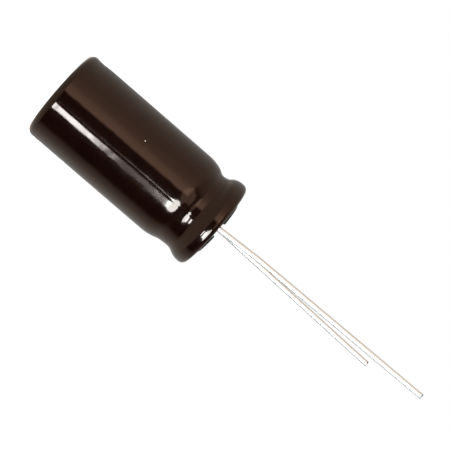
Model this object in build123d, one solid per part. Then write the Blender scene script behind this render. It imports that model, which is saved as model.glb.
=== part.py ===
"""Radial aluminium electrolytic capacitor, 10 x 20 mm size, in millimetres.

It stands on the closed end of its can with both lead wires pointing up (+Z).
The origin is the middle of the end that it stands on.
"""
from build123d import *
from math import asin, degrees, radians, sqrt, tan
import os

# ---- driving sizes ----------------------------------------------------------
can_radius = 5.0            # outside of the drawn cup
can_wall = 0.25
rim_height = 20.97          # top of the crimped rim
rim_swell = 0.08            # how much wider the rolled rim is than the can
base_corner = 0.6           # outside rounding of the closed end
sleeve_wall = 0.1
sleeve_gap = 0.02           # between the shrunk sleeve and the can
sleeve_base_opening = 4.0   # radius left open where the sleeve folds over the closed end
sleeve_rim_opening = 4.3    # the same over the crimped rim

bead_below_rim = 2.72       # rolled groove that squeezes the seal
bead_depth = 0.85
bead_reach_down = 1.95      # groove bottom to its lower shoulder
bead_reach_up = 1.35        # groove bottom to its upper shoulder
bead_bottom_radius = 0.7
shoulder_radius = 1.0
sleeve_bead_depth = 0.55    # the sleeve bridges the groove instead of reaching its bottom
sleeve_bead_radius = 1.2

curl_opening = 3.7          # radius of the mouth left by the curled rim
curl_drop = 0.75            # how far the curled edge bites down
rim_corner = 0.45
curl_corner = 0.4

vent_length = 6.0           # scored cross in the closed end
vent_depth = 0.1

seal_height = 4.8           # rubber end seal, from its inner face to its outer face
seal_below_rim = 0.35        # outer face of the seal, below the top of the rim
fit_gap = 0.02              # between pieces that are pressed or stitched together
pad_radius = 3.25           # stand-off pads on the seal
pad_height = 0.65           # above the seal's outer face
pad_channel = 1.45          # open channel between the pads, along the line of the leads
pad_edge = 0.22

lead_pitch = 5.0
lead_radius = 0.3
anode_lead_tip = 48.55      # heights of the two cut ends
cathode_lead_tip = 43.33
anode_bend_height = 26.2    # each lead changes its lean a little at its bend
anode_lean_low = -3.1       # degrees from upright, towards +X
anode_lean_high = -0.84
cathode_bend_height = 22.3
cathode_lean_low = 0.0
cathode_lean_high = 1.45
bend_radius = 20.0

boss_radius = 0.75          # round part of each tab, inside the seal
boss_below_seal = 0.2
wire_hole_gap = 0.1         # between a wire and the hole it leaves by
boss_top_skin = 0.9         # rubber left over the boss, pierced only by the wire
paddle_width = 1.6
paddle_wall = 0.16
paddle_floor_gap = 0.8      # paddle's end above the foils' lower edge
tab_neck = 1.1              # height over which the round boss becomes the flat paddle

core_radius = 0.9           # hollow left by the winding mandrel
paper_wall = 0.05
anode_wall = 0.1
cathode_wall = 0.05
tape_wall = 0.05
layer_gap = 0.0125
half_turns = 19
anode_tab_turn = 9          # half turn that each tab lies against
cathode_tab_turn = 8
tab_room = 0.28             # how far the turns outside a tab are pushed out
paper_below_neck = 0.7      # from the papers' upper edge to the tabs' necks
foil_inset = 0.5            # foils are narrower than the papers by this at each edge
tape_inset = 0.6            # and the tape is narrower than the foils
winding_floor_gap = 0.25    # below the papers, to the inside of the closed end

# ---- sizes worked out from them ---------------------------------------------
base_level = sleeve_wall + sleeve_gap
crest_level = rim_height - sleeve_wall - sleeve_gap
bead_level = rim_height - bead_below_rim
seal_top = rim_height - seal_below_rim
seal_bottom = seal_top - seal_height
boss_bottom = seal_bottom - boss_below_seal
boss_top = seal_top - boss_top_skin
paddle_top = boss_bottom - tab_neck
paper_bottom = base_level + can_wall + winding_floor_gap
paper_height = paddle_top - paper_below_neck - paper_bottom
foil_bottom = paper_bottom + foil_inset
foil_height = paper_height - 2 * foil_inset
paddle_height = paddle_top - foil_bottom - paddle_floor_gap
paper_pair = paper_wall + layer_gap
winding_pitch = anode_wall + cathode_wall + 2 * paper_wall + 4 * layer_gap
half_pitch = winding_pitch / 2
anode_offset = paper_pair
outer_paper_offset = anode_offset + anode_wall + layer_gap
cathode_offset = outer_paper_offset + paper_pair


def parallel(points, radii, distance):
    """Shift an open outline to its left by a distance, with its corner radii to match."""
    normals = []
    for (x0, y0), (x1, y1) in zip(points, points[1:]):
        run = sqrt((x1 - x0) ** 2 + (y1 - y0) ** 2)
        normals.append((-(y1 - y0) / run, (x1 - x0) / run))
    first, last = normals[0], normals[-1]
    moved = [(points[0][0] + distance * first[0], points[0][1] + distance * first[1])]
    new_radii = []
    for corner, a, b, radius in zip(points[1:-1], normals, normals[1:], radii):
        stretch = distance / (1 + a[0] * b[0] + a[1] * b[1])
        moved.append((corner[0] + stretch * (a[0] + b[0]), corner[1] + stretch * (a[1] + b[1])))
        turns_left = a[0] * b[1] - a[1] * b[0] > 0
        new_radii.append(radius - distance if turns_left else radius + distance)
    moved.append((points[-1][0] + distance * last[0], points[-1][1] + distance * last[1]))
    return moved, new_radii


def rounded(points, radii):
    """One edge list for a rounded outline in the XZ plane."""
    return FilletPolyline(*[(x, 0, z) for x, z in points], radius=radii).edges()


def turned_wall(points, radii, near, far):
    """Revolve the band between two parallels of an outline about the Z axis."""
    inner_points, inner_radii = parallel(points, radii, far)
    outer_points, outer_radii = parallel(points, radii, near)
    edges = rounded(inner_points, inner_radii) + rounded(outer_points, outer_radii)
    for a, b in ((inner_points[0], outer_points[0]), (inner_points[-1], outer_points[-1])):
        edges.append(Edge.make_line((a[0], 0, a[1]), (b[0], 0, b[1])))
    return revolve(Face(Wire(edges)), Axis.Z, 360)


def side_outline(depth, bottom_radius):
    """Corners and radii of the can's side, from the closed end to the rim."""
    points = [
        (can_radius, base_level),
        (can_radius, bead_level - bead_reach_down),
        (can_radius - depth, bead_level),
        (can_radius + rim_swell, bead_level + bead_reach_up),
        (can_radius + rim_swell, crest_level),
    ]
    return points, [base_corner, shoulder_radius, bottom_radius, shoulder_radius, rim_corner]


def can_outline():
    """Outside of the cup, from the middle of its closed end to its curled edge."""
    side, radii = side_outline(bead_depth, bead_bottom_radius)
    curl = [(curl_opening, crest_level), (curl_opening, crest_level - curl_drop)]
    return [(0, base_level)] + side + curl, radii + [curl_corner]


def make_can():
    can = turned_wall(*can_outline(), 0, can_wall)
    for angle in (45, 135):
        score = Rot(0, 0, angle) * Pos(0, 0, base_level) * Rot(45, 0, 0)
        can -= score * Box(vent_length, vent_depth * sqrt(2), vent_depth * sqrt(2))
    return can


def make_sleeve():
    side, radii = side_outline(sleeve_bead_depth, sleeve_bead_radius)
    points = [(sleeve_base_opening, base_level)] + side + [(sleeve_rim_opening, crest_level)]
    return turned_wall(points, radii, -sleeve_gap - sleeve_wall, -sleeve_gap)


def make_seal():
    """Rubber disc squeezed by the bead, gripped by the curled edge, with two stand-off pads."""
    inside, radii = parallel(*can_outline(), can_wall + fit_gap)
    tip_level = crest_level - curl_drop - fit_gap
    mouth = curl_opening - fit_gap
    corners = [
        (0, seal_bottom),
        (inside[1][0], seal_bottom),
        *inside[2:-1],
        (inside[-1][0], tip_level),
        (mouth, tip_level),
        (mouth, seal_top),
        (0, seal_top),
    ]
    edges = rounded(corners, [0, *radii[1:], 0, 0, 0])
    edges.append(Edge.make_line((0, 0, seal_top), (0, 0, seal_bottom)))
    seal = revolve(Face(Wire(edges)), Axis.Z, 360)
    pads = Pos(0, 0, seal_top) * extrude(Circle(pad_radius) - Rectangle(pad_channel, 3 * pad_radius), pad_height)
    pads = fillet(pads.edges().group_by(Axis.Z)[-1], pad_edge)
    seal += pads
    for side in (-1, 1):
        seal -= Pos(0, side * lead_pitch / 2, boss_top + fit_gap) * extrude(
            Circle(boss_radius + fit_gap), -seal_height)
        seal -= Pos(0, side * lead_pitch / 2, boss_top) * extrude(
            Circle(lead_radius + wire_hole_gap), seal_height)
    return seal


def make_lead(side, tip, bend_height, lean_low, lean_high):
    """Straight wire with one slight bend, standing on its boss."""
    start = Vector(0, side * lead_pitch / 2, boss_top)
    bend = start + Vector(tan(radians(lean_low)), 0, 1) * (bend_height - boss_top)
    end = bend + Vector(tan(radians(lean_high)), 0, 1) * (tip - bend_height)
    path = FilletPolyline(start, bend, end, radius=bend_radius)
    section = Plane(path @ 0, z_dir=path % 0) * Circle(lead_radius)
    wire = sweep(section, path)
    # the lower end is squared off flat on top of the boss
    return wire - Pos(0, 0, boss_top) * Box(99, 99, 2, align=(Align.CENTER, Align.CENTER, Align.MAX))


def make_tab(side, winding_radius, winding_centre):
    """Round boss, a neck, and a thin paddle that lies along one turn of the winding."""
    boss_centre = side * lead_pitch / 2
    boss = Pos(0, boss_centre, boss_bottom) * extrude(Circle(boss_radius), boss_top - boss_bottom)
    half_angle = degrees(asin(paddle_width / 2 / winding_radius))
    facing = 90 * side
    outer = CenterArc((winding_centre, 0), winding_radius + paddle_wall, facing - half_angle, 2 * half_angle)
    inner = CenterArc((winding_centre, 0), winding_radius, facing - half_angle, 2 * half_angle)
    ends = [Line(inner @ 0, outer @ 0), Line(inner @ 1, outer @ 1)]
    section = make_face([*outer.edges(), *inner.edges(), *[line.edge() for line in ends]])
    paddle = Pos(0, 0, paddle_top) * extrude(section, paddle_height, dir=(0, 0, -1))
    neck = loft([Pos(0, 0, paddle_top) * section, Pos(0, boss_centre, boss_bottom) * Circle(boss_radius)])
    return boss + neck + paddle


def turn_radii(offset, first_anode_step):
    """Inner radius of one strip for each half turn, pushed out where it passes over a tab."""
    radii = []
    for k in range(half_turns + 4):
        steps = (k >= cathode_tab_turn + 2) + (k >= first_anode_step)
        radii.append(core_radius + offset + k * half_pitch + steps * tab_room)
    return radii


def turn_centres(radii):
    """Half-turn centres that make each arc run smoothly into the next."""
    centres = [0.0]
    for k, (a, b) in enumerate(zip(radii, radii[1:])):
        step = b - a if k % 2 == 0 else a - b
        centres.append(centres[-1] + step)
    return centres


def make_strip(offset, wall, height, level, first, last, first_anode_step):
    """One wound strip as a single spiral of semicircles, from one half turn to another."""
    radii = turn_radii(offset, first_anode_step)
    centres = turn_centres(radii)
    edges = []
    for k in range(first, last + 1):
        start = 180 * (k % 2)
        for radius in (radii[k], radii[k] + wall):
            edges += CenterArc((centres[k], 0), radius, start, 180).edges()
    inner_start, outer_start = edges[0] @ 0, edges[1] @ 0
    inner_end, outer_end = edges[-2] @ 1, edges[-1] @ 1
    edges += [Edge.make_line(inner_start, outer_start), Edge.make_line(inner_end, outer_end)]
    return Pos(0, 0, level) * extrude(Face(Wire(edges)), height, dir=(0, 0, 1))


def make_winding():
    """Papers, foils and closing tape, laid up in the order paper, anode, paper, cathode."""
    before, beyond = anode_tab_turn, anode_tab_turn + 2
    last = half_turns - 1
    return {
        "inner_paper": make_strip(0, paper_wall, paper_height, paper_bottom, 0, last, beyond),
        "anode_foil": make_strip(anode_offset, anode_wall, foil_height, foil_bottom, 1, last - 1, beyond),
        "outer_paper": make_strip(
            outer_paper_offset, paper_wall, paper_height, paper_bottom, 0, last, before),
        "cathode_foil": make_strip(
            cathode_offset, cathode_wall, foil_height, foil_bottom, 1, last, before),
        "winding_tape": make_strip(
            0, tape_wall, foil_height - 2 * tape_inset, foil_bottom + tape_inset,
            last + 1, last + 2, beyond),
    }


def make_tabs():
    anode_radii = turn_radii(anode_offset, anode_tab_turn + 2)
    cathode_radii = turn_radii(cathode_offset, anode_tab_turn)
    return {
        "anode_tab": make_tab(
            -1, anode_radii[anode_tab_turn] + anode_wall + layer_gap,
            turn_centres(anode_radii)[anode_tab_turn]),
        "cathode_tab": make_tab(
            1, cathode_radii[cathode_tab_turn] + cathode_wall + layer_gap,
            turn_centres(cathode_radii)[cathode_tab_turn]),
    }


parts = {
    "sleeve": make_sleeve(),
    "can": make_can(),
    "end_seal": make_seal(),
    "anode_lead": make_lead(-1, anode_lead_tip, anode_bend_height, anode_lean_low, anode_lean_high),
    "cathode_lead": make_lead(
        1, cathode_lead_tip, cathode_bend_height, cathode_lean_low, cathode_lean_high),
    **make_tabs(),
    **make_winding(),
}

os.makedirs("parts", exist_ok=True)
for name, shape in parts.items():
    export_step(shape, f"parts/{name}.step")
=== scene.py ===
"""Radial electrolytic capacitor: the finish of every surface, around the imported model."""
import math
import bmesh
import bpy
from mathutils import Matrix, Vector, noise


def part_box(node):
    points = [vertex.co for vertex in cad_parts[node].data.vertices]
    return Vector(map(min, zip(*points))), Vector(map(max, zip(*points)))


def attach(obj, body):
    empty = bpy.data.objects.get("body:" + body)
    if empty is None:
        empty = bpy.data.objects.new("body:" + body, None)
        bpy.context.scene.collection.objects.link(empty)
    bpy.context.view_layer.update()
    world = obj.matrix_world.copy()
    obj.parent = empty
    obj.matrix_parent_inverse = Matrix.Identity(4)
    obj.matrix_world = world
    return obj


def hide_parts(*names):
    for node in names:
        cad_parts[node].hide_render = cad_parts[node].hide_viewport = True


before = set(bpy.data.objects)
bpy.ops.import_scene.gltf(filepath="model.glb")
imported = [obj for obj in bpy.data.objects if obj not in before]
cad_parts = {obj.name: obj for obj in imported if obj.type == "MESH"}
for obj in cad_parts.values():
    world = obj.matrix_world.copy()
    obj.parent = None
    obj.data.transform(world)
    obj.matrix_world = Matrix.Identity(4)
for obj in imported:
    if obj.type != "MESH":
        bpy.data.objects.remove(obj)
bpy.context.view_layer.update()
MM = 0.001

# sizes of the sleeve film, in millimetres; angles run from +X and the camera is at -Y
RIM_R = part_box("sleeve")[1].x / MM
RIM_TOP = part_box("sleeve")[1].z / MM - 0.06     # the film is drawn tight over the rim
RIM_SWELL = 0.055           # the crimped rim stands out this far past the body
BODY_R = RIM_R - RIM_SWELL
BASE_CORNER = 0.72
RIM_CORNER = 0.57
FOLD_BASE = 4.0             # radius where the film ends on the closed end
FOLD_RIM = 4.3              # and over the crimped rim
BEAD = RIM_TOP - 2.66       # height that the groove's profiles are measured from
FILM = 0.03                 # thickness on the wall and the rim
FILM_BASE = 0.065           # added to it at the edge on the closed end
CAMERA_SIDE = math.radians(-90)
CREASE = CAMERA_SIDE + math.radians(8.5)        # lay-flat crease; the other is opposite
CREASE_DEPTH = 0.014
NECK_HEIGHT, NECK_DEPTH = 1.45, 0.065           # slight neck near the closed end


# ---- mesh helpers --------------------------------------------------------------
def smoothstep(a, b, x):
    t = min(max((x - a) / (b - a), 0.0), 1.0)
    return t * t * (3 - 2 * t)


def bump(x, middle, width):
    return math.exp(-((x - middle) / width) ** 2)


def mesh_object(name, verts, faces, materials=(), smooth=True):
    mesh = bpy.data.meshes.new(name)
    mesh.from_pydata([Vector(v) * MM for v in verts], [], faces)
    for material in materials:
        mesh.materials.append(material)
    mesh.polygons.foreach_set("use_smooth", [smooth] * len(mesh.polygons))
    mesh.update()
    piece = bpy.data.objects.new(name, mesh)
    bpy.context.scene.collection.objects.link(piece)
    return piece


def wrap(angle):
    """Angle brought to -pi..pi."""
    return (angle + math.pi) % (2 * math.pi) - math.pi


# ---- sleeve ---------------------------------------------------------------------
# dip of the film over the rolled groove: (height from BEAD, depth)
SHARP_SIDE = ((-2.4, 0), (-1.4, 0.13), (-0.75, 0.34), (-0.35, 0.59), (0.05, 0.64), (0.65, 0.48),
              (0.9, 0.22), (1.3, 0.04), (1.7, -0.06), (2.0, -RIM_SWELL))
GENTLE_SIDE = ((-2.9, 0), (-1.8, 0.14), (-1.1, 0.34), (-0.5, 0.41), (0.1, 0.44), (0.5, 0.39),
               (0.85, 0.23), (1.25, 0.05), (1.7, -0.05), (2.0, -RIM_SWELL))
SOFTEN = (-0.14, -0.07, 0, 0.07, 0.14)      # the profiles are averaged over these steps


def slope_at(keys, j):
    if j in (0, len(keys) - 1):
        return 0
    return (keys[j + 1][1] - keys[j - 1][1]) / (keys[j + 1][0] - keys[j - 1][0])


def through(keys, x):
    """Smooth curve through (place, value) pairs, level beyond both ends."""
    if x <= keys[0][0]:
        return keys[0][1]
    if x >= keys[-1][0]:
        return keys[-1][1]
    i = next(i for i, key in enumerate(keys) if key[0] > x) - 1
    slopes = slope_at(keys, i), slope_at(keys, i + 1)
    (x0, v0), (x1, v1) = keys[i], keys[i + 1]
    run = x1 - x0
    t = (x - x0) / run
    return ((2 * t ** 3 - 3 * t ** 2 + 1) * v0 + (t ** 3 - 2 * t ** 2 + t) * run * slopes[0]
            + (3 * t ** 2 - 2 * t ** 3) * v1 + (t ** 3 - t ** 2) * run * slopes[1])


def groove_depth(z, angle):
    """Dip over the groove: deeper on the -X side, a little lower on the camera's side."""
    sharp = 0.5 - 0.5 * math.cos(angle)
    sag = 0.35 * bump(wrap(angle - CAMERA_SIDE), 0, 0.8) * bump(z - BEAD, -0.6, 1.0)
    lift = z - BEAD + sag
    depth = 0.0
    for step in SOFTEN:
        depth += through(SHARP_SIDE, lift + step) * sharp
        depth += through(GENTLE_SIDE, lift + step) * (1 - sharp)
    return depth / len(SOFTEN)


def corner_arc(corner, height, start):
    """Quarter round of this radius about this height, from this angle in degrees."""
    steps, arc = 14, []
    for i in range(steps + 1):
        a = math.radians(start + 90 * i / steps)
        arc.append((BODY_R - corner + corner * math.cos(a), height + corner * math.sin(a),
                    math.cos(a), math.sin(a)))
    return arc


def film_path():
    """Film's outer line, before the groove, as (radius, height, normal's radius and height)."""
    path = []
    fold_steps, wall_steps = 8, 190
    for i in range(fold_steps):
        r = FOLD_BASE + (BODY_R - BASE_CORNER - FOLD_BASE) * i / fold_steps
        path.append((r, 0.0, 0, -1))
    path += corner_arc(BASE_CORNER, BASE_CORNER, -90)
    wall_top = RIM_TOP - RIM_CORNER
    for i in range(1, wall_steps):
        path.append((BODY_R, BASE_CORNER + (wall_top - BASE_CORNER) * i / wall_steps, 1, 0))
    path += corner_arc(RIM_CORNER, wall_top, 0)
    for i in range(1, fold_steps + 1):
        r = BODY_R - RIM_CORNER + (FOLD_RIM - BODY_R + RIM_CORNER) * i / fold_steps
        path.append((r, RIM_TOP, 0, 1))
    return path


def film_columns():
    """Angles round the sleeve, closer together at its two creases."""
    even = 190
    angles = [2 * math.pi * i / even for i in range(even)]
    for place in (CREASE, CREASE + math.pi):
        angles += [place + math.radians(0.4 * i) for i in range(-12, 13)]
    return sorted(set(round(a % (2 * math.pi), 6) for a in angles))


def film_shift(z, angle):
    """Movement of the film along its normal: neck, shrink waviness, lay-flat creases."""
    x, y = math.cos(angle), math.sin(angle)
    body = smoothstep(0.2, 1.0, z) * (1 - smoothstep(BEAD - 1.2, BEAD + 0.6, z))
    neck = -NECK_DEPTH * bump(z, NECK_HEIGHT, 0.7) * max(-x, 0.0) ** 2
    slack = -0.012 * (0.5 + 0.5 * noise.noise(Vector((x * 1.6, y * 1.6, z * 0.22))))
    fine = 0.0042 * noise.noise(Vector((x * 6, y * 6, z * 1.1 + 7)))
    crease = 0.0
    strength = 0.25 + 0.75 * bump(z, 13.0, 5.5)
    for place in (CREASE, CREASE + math.pi):
        off = wrap(angle - place) * BODY_R - 0.03 * math.sin(z * 0.45)
        crease -= strength * CREASE_DEPTH * bump(off, 0, 0.12)
    return body * (neck + slack + fine + crease)


def film_edge(r, z, angle):
    """Ragged cut edge and small puckers where the film folds over both ends."""
    base = z < 1
    inner, outer = (FOLD_BASE, BODY_R - BASE_CORNER) if base else (FOLD_RIM, BODY_R - RIM_CORNER)
    share = min(max((outer - r) / (outer - inner), 0.0), 1.0)
    x, y = math.cos(angle), math.sin(angle)
    ragged = 0.10 * noise.noise(Vector((x * 2.2, y * 2.2, 3 if base else 9)))
    ragged += 0.03 * noise.noise(Vector((x * 9, y * 9, 5 if base else 1)))
    pucker = 0.012 * share * (0.5 + 0.5 * math.sin(31 * angle + 2 * math.sin(3 * angle)))
    return share * ragged, pucker if base else -pucker


def make_sleeve():
    path, angles = film_path(), film_columns()
    outside = []
    for r, z, nr, _ in path:
        ring = []
        for angle in angles:
            shift = film_shift(z, angle)
            slide, lift = film_edge(r, z, angle) if nr < 0.5 else (0, 0)
            radius = r + shift * nr - groove_depth(z, angle) + slide
            ring.append((radius * math.cos(angle), radius * math.sin(angle), z + lift))
        outside.append(ring)
    inside = []
    for index in range(len(path) - 1, -1, -4):      # the inner side needs fewer rings
        nr, nz = path[index][2:]
        film = FILM + FILM_BASE * max(0.0, 1 - index / 5)
        ring = []
        for x, y, z in outside[index]:
            inward = 1 - film * nr / math.hypot(x, y)
            ring.append((x * inward, y * inward, z - film * nz))
        inside.append(ring)
    rings = outside + inside
    verts = [v for ring in rings for v in ring]
    columns, faces = len(angles), []
    for i in range(len(rings)):
        for j in range(columns):
            here, above = i * columns, ((i + 1) % len(rings)) * columns
            k = (j + 1) % columns
            faces.append((here + j, here + k, above + k, above + j))
    sleeve = mesh_object("sleeve_film", verts, faces, [film_material()])
    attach(sleeve, "root")
    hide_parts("sleeve")


def make_dust():
    """One pale grain that clings to the film on the camera's side."""
    angle, z = CAMERA_SIDE - math.radians(21.5), 9.72
    radius, flatten = 0.07, 0.45
    out = Vector((math.cos(angle), math.sin(angle), 0))
    mesh = bmesh.new()
    bmesh.ops.create_icosphere(mesh, subdivisions=3, radius=1.0)
    for vert in mesh.verts:
        size = radius * (1 + 0.35 * noise.noise(vert.co * 1.7))
        flat = vert.co * size
        flat -= out * flat.dot(out) * flatten
        vert.co = (flat + out * BODY_R + Vector((0, 0, z))) * MM
    data = bpy.data.meshes.new("dust_grain")
    mesh.to_mesh(data)
    mesh.free()
    data.polygons.foreach_set("use_smooth", [True] * len(data.polygons))
    data.materials.append(plain_matt("dust_pale", (0.30, 0.25, 0.21), (0.46, 0.39, 0.33), 0.9))
    grain = bpy.data.objects.new("dust_grain", data)
    bpy.context.scene.collection.objects.link(grain)
    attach(grain, "root")


# ---- materials -------------------------------------------------------------------
class NodeTree:
    """Adds and links the nodes of one tree."""

    def __init__(self, tree):
        self.tree = tree

    def add(self, kind, **settings):
        node = self.tree.nodes.new(kind)
        for key, value in settings.items():
            setattr(node, key, value)
        return node

    def link(self, a, b):
        self.tree.links.new(a, b)


class Nodes(NodeTree):
    """Short way to build one material's nodes."""

    def __init__(self, name, **shader):
        self.material = bpy.data.materials.new(name)
        self.material.use_nodes = True
        super().__init__(self.material.node_tree)
        self.shader = self.tree.nodes["Principled BSDF"]
        for socket, value in shader.items():
            self.shader.inputs[socket.replace("_", " ")].default_value = value
        self.place = self.add("ShaderNodeTexCoord").outputs["Object"]

    def stretched(self, scale):
        mapping = self.add("ShaderNodeMapping")
        mapping.inputs["Scale"].default_value = scale
        self.link(self.place, mapping.inputs["Vector"])
        return mapping.outputs["Vector"]

    def noise(self, scale, detail=4.0, roughness=0.55, stretch=(1, 1, 1)):
        node = self.add("ShaderNodeTexNoise")
        node.inputs["Scale"].default_value = scale
        node.inputs["Detail"].default_value = detail
        node.inputs["Roughness"].default_value = roughness
        self.link(self.stretched(stretch), node.inputs["Vector"])
        return node.outputs["Fac"]

    def ramp(self, value, low, high, out_low, out_high):
        node = self.add("ShaderNodeMapRange")
        self.link(value, node.inputs["Value"])
        limits = {"From Min": low, "From Max": high, "To Min": out_low, "To Max": out_high}
        for key, number in limits.items():
            node.inputs[key].default_value = number
        return node.outputs["Result"]

    def mix(self, factor, first, second):
        node = self.add("ShaderNodeMix", data_type="RGBA")
        self.link(factor, node.inputs["Factor"])
        for key, colour in (("A", first), ("B", second)):
            socket = [s for s in node.inputs if s.name == key and s.type == "RGBA"][0]
            if isinstance(colour, tuple):
                socket.default_value = (*colour, 1)
            else:
                self.link(colour, socket)
        return [s for s in node.outputs if s.type == "RGBA"][0]

    def bump(self, height, strength, distance):
        node = self.add("ShaderNodeBump")
        node.inputs["Strength"].default_value = strength
        node.inputs["Distance"].default_value = distance
        self.link(height, node.inputs["Height"])
        self.link(node.outputs["Normal"], self.shader.inputs["Normal"])

    def set(self, socket, output):
        self.link(output, self.shader.inputs[socket])


def film_material():
    """Glossy dark brown film, whose highlights are tinted as if by the can beneath."""
    n = Nodes("film_dark_brown", IOR=1.5)
    n.shader.inputs["Specular Tint"].default_value = (1.0, 0.75, 0.60, 1)
    cloud = n.ramp(n.noise(260, 3), 0.35, 0.65, 0, 1)
    n.set("Base Color", n.mix(cloud, (0.0034, 0.0008, 0.0005), (0.0046, 0.0012, 0.0007)))
    n.set("Roughness", n.ramp(n.noise(900, 2), 0.3, 0.7, 0.09, 0.13))
    n.bump(n.noise(2600, 3, 0.5, (1, 1, 0.5)), 0.22, 0.00001)
    return n.material


def rubber_material():
    n = Nodes("seal_rubber", IOR=1.5, Specular_IOR_Level=0.3)
    cloud = n.ramp(n.noise(700, 5), 0.3, 0.7, 0, 1)
    n.set("Base Color", n.mix(cloud, (0.004, 0.0034, 0.0032), (0.009, 0.008, 0.0075)))
    n.set("Roughness", n.ramp(n.noise(2500, 4), 0.3, 0.7, 0.2, 0.34))
    n.bump(n.noise(4200, 3), 0.25, 0.00001)
    return n.material


def wire_material(name, tip_height, tip_colour):
    """Bright tin with faint draw marks; the cut end shows the core."""
    n = Nodes(name, Metallic=1.0)
    streak = n.ramp(n.noise(700, 4, 0.6, (1, 1, 0.06)), 0.35, 0.65, 0, 1)
    tin = n.mix(streak, (0.94, 0.95, 0.92), (0.86, 0.86, 0.80))
    split = n.add("ShaderNodeSeparateXYZ")
    n.link(n.place, split.inputs["Vector"])
    bare = tip_height - 0.22 * MM, tip_height - 0.10 * MM   # where the tin gives way to the core
    at_tip = n.ramp(split.outputs["Z"], *bare, 0, 1)
    n.set("Base Color", n.mix(at_tip, tin, tip_colour))
    n.set("Metallic", n.ramp(split.outputs["Z"], *bare, 1, 0))
    n.set("Roughness", n.ramp(n.noise(900, 4, 0.6, (1, 1, 0.1)), 0.3, 0.7, 0.36, 0.46))
    n.bump(n.noise(700, 2, 0.5, (1, 1, 0.05)), 0.05, 0.000003)
    return n.material


def can_material():
    n = Nodes("can_aluminium", Metallic=1.0)
    cloud = n.ramp(n.noise(500, 4), 0.3, 0.7, 0, 1)
    n.set("Base Color", n.mix(cloud, (0.72, 0.73, 0.74), (0.80, 0.81, 0.82)))
    n.set("Roughness", n.ramp(n.noise(1300, 4), 0.3, 0.7, 0.26, 0.38))
    n.bump(n.noise(3000, 3), 0.2, 0.00002)
    return n.material


def plain_metal(name, first, second, rough):
    n = Nodes(name, Metallic=1.0, Roughness=rough)
    n.set("Base Color", n.mix(n.ramp(n.noise(800, 4), 0.3, 0.7, 0, 1), first, second))
    n.bump(n.noise(2600, 3), 0.25, 0.00002)
    return n.material


def plain_matt(name, first, second, rough):
    n = Nodes(name, Roughness=rough)
    n.set("Base Color", n.mix(n.ramp(n.noise(1200, 5), 0.3, 0.7, 0, 1), first, second))
    n.bump(n.noise(2600, 4), 0.3, 0.00002)
    return n.material


def paint(node, material):
    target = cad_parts[node]
    target.data.materials.clear()
    target.data.materials.append(material)


def paint_nodes():
    paint("can", can_material())
    paint("end_seal", rubber_material())
    anode_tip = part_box("anode_lead")[1].z
    cathode_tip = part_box("cathode_lead")[1].z
    paint("anode_lead", wire_material("wire_tinned_long", anode_tip, (0.13, 0.12, 0.11)))
    paint("cathode_lead", wire_material("wire_tinned_short", cathode_tip, (0.20, 0.085, 0.065)))
    tab = plain_metal("tab_aluminium", (0.72, 0.72, 0.73), (0.80, 0.80, 0.81), 0.35)
    for node in ("anode_tab", "cathode_tab"):
        paint(node, tab)
    paint("anode_foil", plain_metal("foil_etched", (0.38, 0.39, 0.40), (0.48, 0.49, 0.50), 0.6))
    paint("cathode_foil", plain_metal("foil_plain", (0.60, 0.61, 0.62), (0.70, 0.71, 0.72), 0.45))
    paper = plain_matt("separator_kraft", (0.62, 0.52, 0.36), (0.74, 0.65, 0.48), 0.85)
    for node in ("inner_paper", "outer_paper"):
        paint(node, paper)
    paint("winding_tape", plain_matt("tape_amber", (0.55, 0.38, 0.14), (0.62, 0.45, 0.18), 0.35))


# ---- camera, light, floor ----------------------------------------------------------
CAMERA_TILT = math.radians(5.9)     # the leads lean away from the camera by this much
CAMERA_ROLL = math.radians(40.9)    # and fall to the lower right by this much
CAMERA_PLACE = Vector((-0.79, -110.13, 10.21)) * MM
LENS = 85.5


def make_camera():
    along = Vector((0, -math.sin(CAMERA_TILT), math.cos(CAMERA_TILT)))
    ahead = Vector((0, math.cos(CAMERA_TILT), math.sin(CAMERA_TILT)))
    across = Vector((1, 0, 0))
    right = along * math.cos(CAMERA_ROLL) - across * math.sin(CAMERA_ROLL)
    down = along * math.sin(CAMERA_ROLL) + across * math.cos(CAMERA_ROLL)
    data = bpy.data.cameras.new("camera")
    data.lens = LENS
    data.sensor_width = 36
    data.clip_start = 0.001
    camera = bpy.data.objects.new("camera", data)
    bpy.context.scene.collection.objects.link(camera)
    turn = Matrix((right, -down, -ahead)).transposed().to_4x4()
    camera.matrix_world = Matrix.Translation(CAMERA_PLACE) @ turn
    bpy.context.scene.camera = camera


def area_light(name, azimuth, span, bottom, top, radiance, colour, shape="RECTANGLE"):
    """Upright soft box facing the object; azimuth 0 is the camera's side, + towards +X."""
    distance = 300
    wide = 2 * distance * math.tan(math.radians(span / 2))
    tall = top - bottom
    data = bpy.data.lights.new(name, "AREA")
    data.shape = shape
    data.size, data.size_y = wide * MM, tall * MM
    area = data.size * data.size_y * (math.pi / 4 if shape == "ELLIPSE" else 1)
    data.energy = radiance * math.pi * area
    data.color = colour
    lamp = bpy.data.objects.new(name, data)
    a = math.radians(azimuth)
    out = Vector((math.sin(a), -math.cos(a), 0))
    place = (out * distance + Vector((0, 0, (bottom + top) / 2))) * MM
    lamp.matrix_world = Matrix.Translation(place) @ out.to_track_quat("Z", "Y").to_matrix().to_4x4()
    lamp.visible_camera = False
    bpy.context.scene.collection.objects.link(lamp)


WORLD_STRENGTH = 2.0        # colour ramps stop at 1, so brightness is given over this
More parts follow.
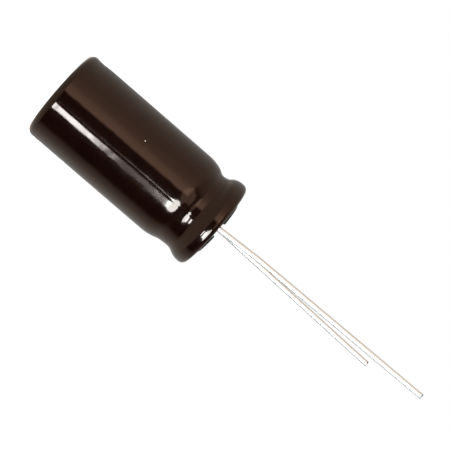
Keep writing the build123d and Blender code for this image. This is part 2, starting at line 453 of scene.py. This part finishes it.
# brightness of the room at eye level, and of its ceiling: (azimuth in degrees, level)
WALLS = ((-180, 0.46), (-150, 0.45), (-110, 0.7), (-60, 0.74), (-38, 0.98), (-25, 1.65),
         (-13, 1.85), (-9.5, 0.05), (10, 0.03), (14, 0.15), (44, 0.1), (52, 0.0), (80, 0.0),
         (93, 0.44), (118, 0.72), (150, 0.58), (180, 0.46))
CEILING = ((-180, 0.5), (-80, 0.6), (-50, 0.5), (-35, 0.1), (70, 0.05), (100, 0.3), (180, 0.5))
BELOW = (0.64, 0.55, 0.48)
# edges of the bands, as the sine of the elevation
CEILING_FROM = (0.42, 0.56)
BELOW_FROM = (-0.2, -0.3)


class WorldNodes(NodeTree):
    """The few kinds of node that the studio world needs."""

    def share(self, value, low, high):
        node = self.add("ShaderNodeMapRange")
        node.inputs["From Min"].default_value = low
        node.inputs["From Max"].default_value = high
        self.link(value, node.inputs["Value"])
        return node.outputs["Result"]

    def ring(self, azimuth, stops):
        """Colour round the horizon, warmer near azimuth 0, which is the camera's side."""
        ramp = self.add("ShaderNodeValToRGB")
        self.link(azimuth, ramp.inputs["Fac"])
        elements = ramp.color_ramp.elements
        while len(elements) < len(stops):
            elements.new(0.5)
        for element, (degrees, level) in zip(elements, stops):
            warm = 1 - smoothstep(70, 150, abs(degrees))
            level = level / WORLD_STRENGTH
            element.position = (degrees + 180) / 360
            green, blue = 0.98 - 0.20 * warm, 0.95 - 0.30 * warm
            element.color = (level, level * green, level * blue, 1)
        return ramp.outputs["Color"]

    def mix(self, factor, first, second):
        node = self.add("ShaderNodeMix", data_type="RGBA")
        self.link(factor, node.inputs["Factor"])
        sockets = [s for s in node.inputs if s.type == "RGBA"]
        self.link(first, sockets[0])
        if isinstance(second, tuple):
            sockets[1].default_value = (*(part / WORLD_STRENGTH for part in second), 1)
        else:
            self.link(second, sockets[1])
        return [s for s in node.outputs if s.type == "RGBA"][0]


def studio_world():
    """Room whose walls, ceiling and lower part differ in brightness; white to the camera."""
    world = bpy.data.worlds.new("studio")
    bpy.context.scene.world = world
    world.use_nodes = True
    world.node_tree.nodes.clear()
    n = WorldNodes(world.node_tree)
    split = n.add("ShaderNodeSeparateXYZ")
    n.link(n.add("ShaderNodeTexCoord").outputs["Generated"], split.inputs["Vector"])
    flip = n.add("ShaderNodeMath", operation="MULTIPLY")
    flip.inputs[1].default_value = -1
    n.link(split.outputs["Y"], flip.inputs[0])
    turn = n.add("ShaderNodeMath", operation="ARCTAN2")
    n.link(split.outputs["X"], turn.inputs[0])
    n.link(flip.outputs[0], turn.inputs[1])
    azimuth = n.share(turn.outputs[0], -math.pi, math.pi)
    height = split.outputs["Z"]
    room = n.mix(n.share(height, *CEILING_FROM), n.ring(azimuth, WALLS), n.ring(azimuth, CEILING))
    room = n.mix(n.share(height, *BELOW_FROM), room, BELOW)
    lit = n.add("ShaderNodeBackground")
    n.link(room, lit.inputs["Color"])
    lit.inputs["Strength"].default_value = WORLD_STRENGTH
    white = n.add("ShaderNodeBackground")
    white.inputs["Color"].default_value = (1, 1, 1, 1)
    mix = n.add("ShaderNodeMixShader")
    n.link(n.add("ShaderNodeLightPath").outputs["Is Camera Ray"], mix.inputs["Fac"])
    n.link(lit.outputs[0], mix.inputs[1])
    n.link(white.outputs[0], mix.inputs[2])
    n.link(mix.outputs[0], n.add("ShaderNodeOutputWorld").inputs["Surface"])


def make_floor():
    """White floor that also glows to the camera; the gloss does not mirror it."""
    half, camera_glow = 3000, 0.75
    corners = [(-half, -half, 0), (half, -half, 0), (half, half, 0), (-half, half, 0)]
    floor = mesh_object("floor", corners, [(0, 1, 2, 3)], smooth=False)
    n = Nodes("floor_white", Roughness=0.9, Specular_IOR_Level=0.1)
    n.shader.inputs["Base Color"].default_value = (0.9, 0.9, 0.9, 1)
    glow = n.add("ShaderNodeEmission")
    glow.inputs["Color"].default_value = (1, 1, 1, 1)
    rays = n.add("ShaderNodeLightPath")
    lift = n.add("ShaderNodeMath", operation="MULTIPLY")
    lift.inputs[1].default_value = camera_glow
    n.link(rays.outputs["Is Camera Ray"], lift.inputs[0])
    n.link(lift.outputs[0], glow.inputs["Strength"])
    both = n.add("ShaderNodeAddShader")
    out = n.tree.nodes["Material Output"]
    n.link(n.shader.outputs[0], both.inputs[0])
    n.link(glow.outputs[0], both.inputs[1])
    n.link(both.outputs[0], out.inputs["Surface"])
    floor.data.materials.append(n.material)
    floor.visible_glossy = False


DAYLIGHT, DUSK, WARM = (0.67, 0.84, 1), (0.80, 0.74, 1), (1, 0.82, 0.7)

make_sleeve()
make_dust()
paint_nodes()
make_camera()
studio_world()
# name, azimuth and width in degrees, bottom and top in millimetres, brightness
area_light("window_low", 29.2, 13, -29, -4, 42, DAYLIGHT)
area_light("window_sill", 28.7, 12.6, -4, 28, 1.2, DUSK)
area_light("window_high", 30.5, 16, 32, 60, 34, DAYLIGHT)
area_light("window_top", 27, 33, 38, 190, 30, DAYLIGHT, "ELLIPSE")
area_light("soft_box", -13, 44, 66, 340, 0.9, WARM, "ELLIPSE")
area_light("soft_box_core", -13, 32, 84, 320, 0.9, WARM, "ELLIPSE")
make_floor()

bpy.context.scene.view_settings.view_transform = "Standard"
